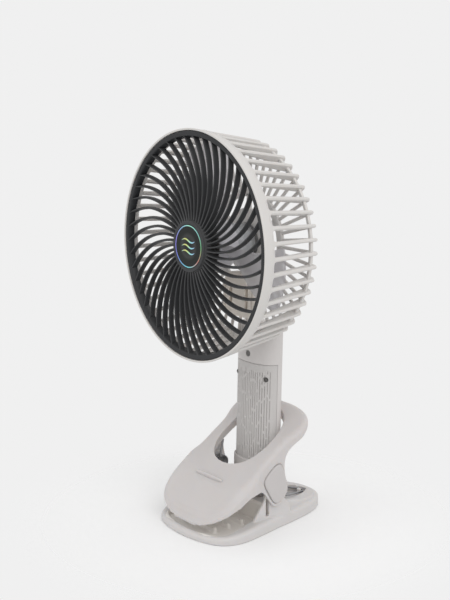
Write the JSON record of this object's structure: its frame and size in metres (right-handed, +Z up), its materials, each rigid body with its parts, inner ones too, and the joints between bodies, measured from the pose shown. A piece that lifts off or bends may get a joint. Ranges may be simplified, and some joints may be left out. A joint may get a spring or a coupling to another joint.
{
  "type": "clip fan",
  "caption": "Small rechargeable clip fan with a dark spiral guard and ribbed cage on an oval grip, standing in a sprung clamp.",
  "frame": {"origin": "centre of the foot's underside, the point rest_face", "axes": "+Z up, the fan blows towards -Y, +X to the right seen from the front"},
  "size_m": [0.1696, 0.1315, 0.3032],
  "materials": {
    "guard": "satin charcoal",
    "badge": "dark, thin iridescent ring",
    "cage": "satin",
    "smoke": "smoke grey, translucent",
    "steel": "plain",
    "dark_steel": "darkened",
    "ferrite": "sintered",
    "copper": "enamelled wire and iron",
    "bronze": "sintered bronze",
    "black_plastic": "plain",
    "neck": "fine matt",
    "grip": "grooved, matt",
    "cell": "shrink sleeve",
    "board": "lacquered",
    "lens": "frosted",
    "foot": "fine matt",
    "jaw": "fine matt"
  },
  "bodies": {
    "foot": {"lower_jaw": "foot", "tilt_pin": "steel", "hinge_pin_left": "steel", "hinge_pin_right": "steel"},
    "clamp_lever": {"upper_jaw": "jaw", "hinge_cap_left": "jaw", "hinge_cap_right": "jaw", "clip_spring": "dark_steel"},
    "handle": {"handle_socket": "neck", "handle_rear_shell": "neck", "handle_front_shell": "grip", "battery_cell_left": "cell", "battery_cell_right": "cell", "control_board": "board", "board_screw_left": "steel", "board_screw_right": "steel", "indicator_lens": "lens", "usb_port": "steel", "neck_screw": "dark_steel", "shell_screw_left": "dark_steel", "shell_screw_right": "dark_steel", "rear_cage": "cage", "front_grille": "guard", "hub_badge": "badge", "motor_can": "steel", "motor_magnet": "ferrite", "bearing_front": "bronze", "bearing_rear": "bronze", "motor_end_cap": "black_plastic", "motor_screw_left": "steel", "motor_screw_right": "steel"},
    "impeller": {"fan_blade": "smoke", "motor_shaft": "steel", "motor_rotor": "copper"},
    "button": {"power_button": "neck"}
  },
  "joints": [
    {"name": "clip_hinge", "type": "hinge", "parent": "foot", "child": "clamp_lever", "pos_m": [0, -0.003, 0.038], "axis": [-1, 0, 0], "range_deg": [0, 25], "stiffness_Nm_per_rad": 1.2, "springref_deg": -24.06, "deforming": ["clip_spring"]},
    {"name": "handle_tilt", "type": "hinge", "parent": "foot", "child": "handle", "pos_m": [0, 0.0109, 0.018], "axis": [1, 0, 0], "range_deg": [0, 15]},
    {"name": "fan_spin", "type": "hinge", "parent": "handle", "child": "impeller", "pos_m": [0, -0.05377, 0.2184], "axis": [0, -0.9997, 0.0232], "continuous": true},
    {"name": "power_button_press", "type": "slide", "parent": "handle", "child": "button", "axis": [0, -0.9997, 0.0232], "range_m": [0, 0.0006], "stiffness_N_per_m": 1500}
  ]
}
